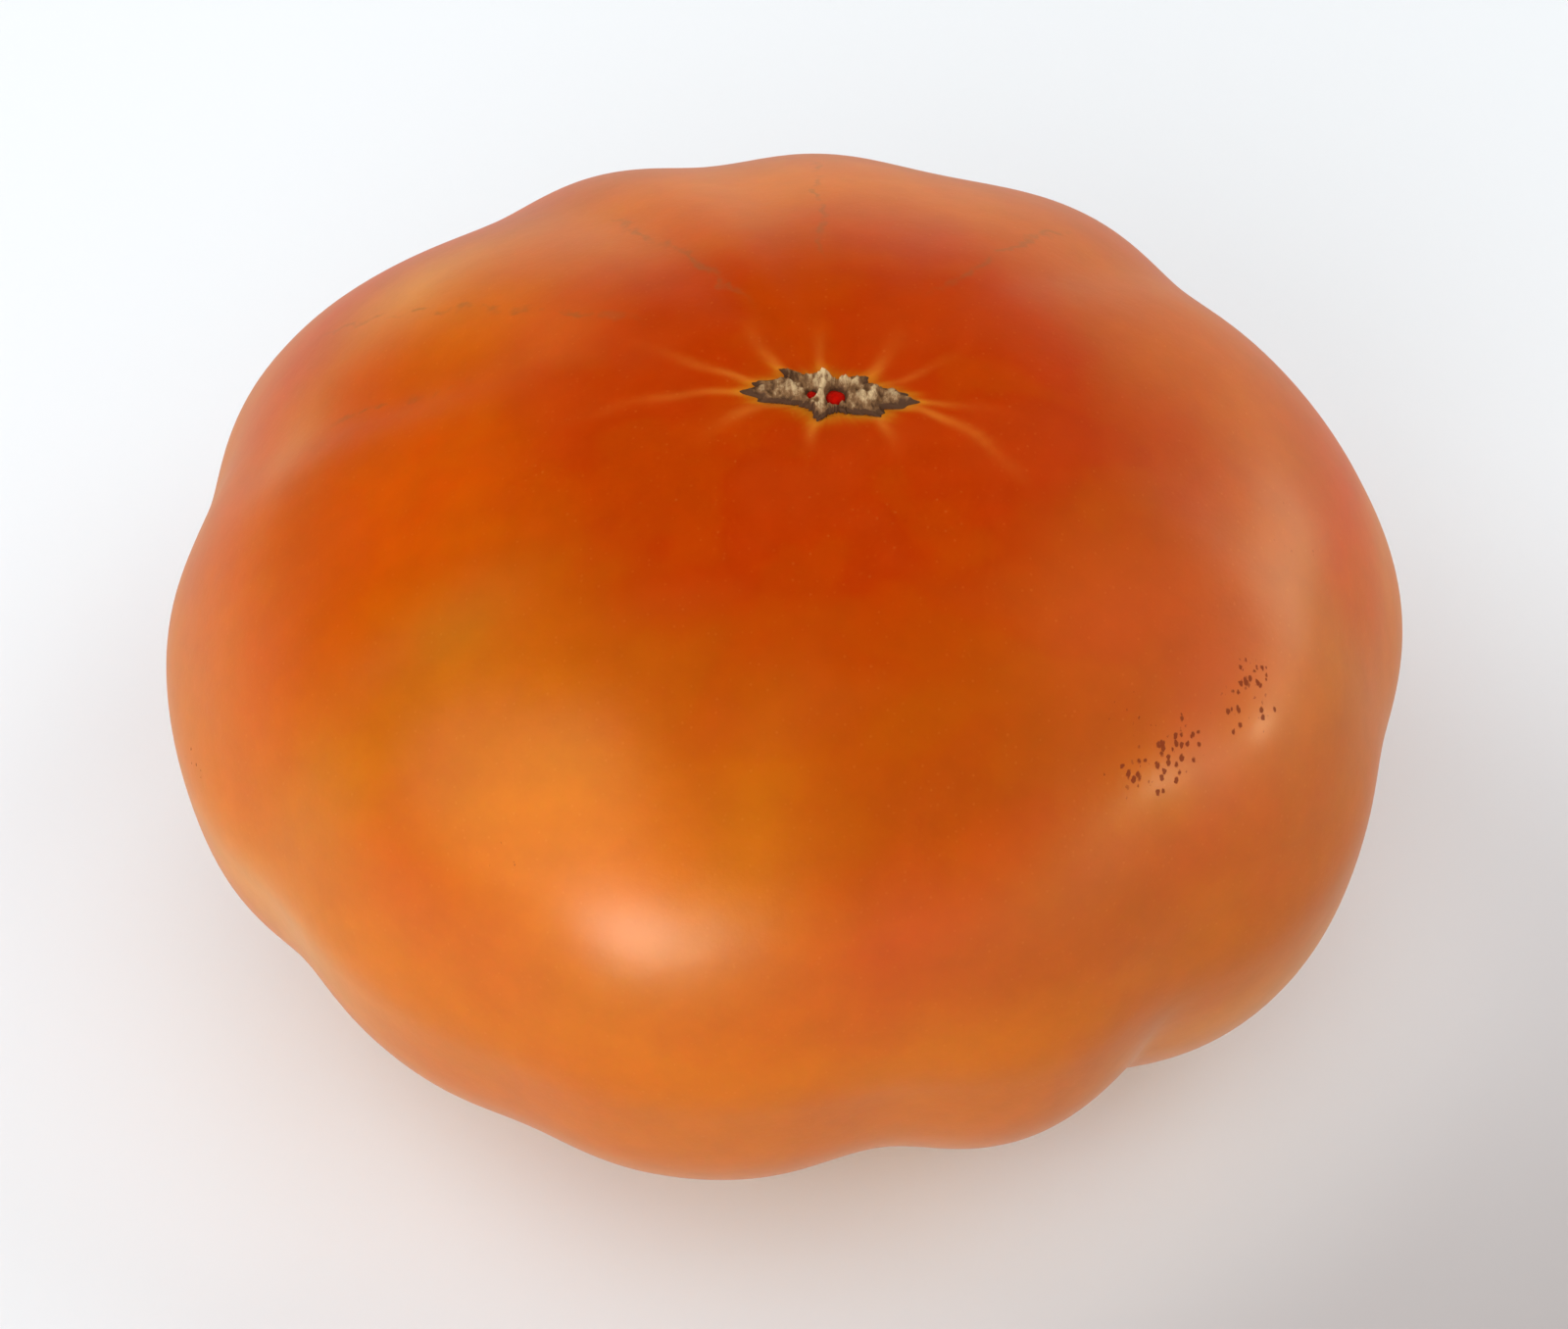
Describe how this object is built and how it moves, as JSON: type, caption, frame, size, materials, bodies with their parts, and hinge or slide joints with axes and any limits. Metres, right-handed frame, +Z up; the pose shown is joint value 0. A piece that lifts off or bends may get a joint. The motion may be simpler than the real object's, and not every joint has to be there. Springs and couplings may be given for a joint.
{
  "type": "tomato",
  "caption": "Whole ribbed beefsteak tomato, wide and squashed, lying stem end down with a corky star-shaped scar in the shallow dimple on its crown.",
  "frame": {"origin": "on the surface that the fruit lies on, under the middle of its bounding box", "axes": "+Z up, from the stem end to the blossom end; +X along the widest side, which is also the way the blossom scar runs; +Y to the back as the picture shows it"},
  "size_m": [0.0932, 0.0882, 0.0582],
  "materials": {
    "tomato_skin": "satin waxy skin, orange-red with orange and gold patches",
    "scar_cork": "dry, rough cork of the blossom and stalk scars"
  },
  "bodies": {
    "root": {"tomato": "tomato_skin"}
  },
  "joints": []
}
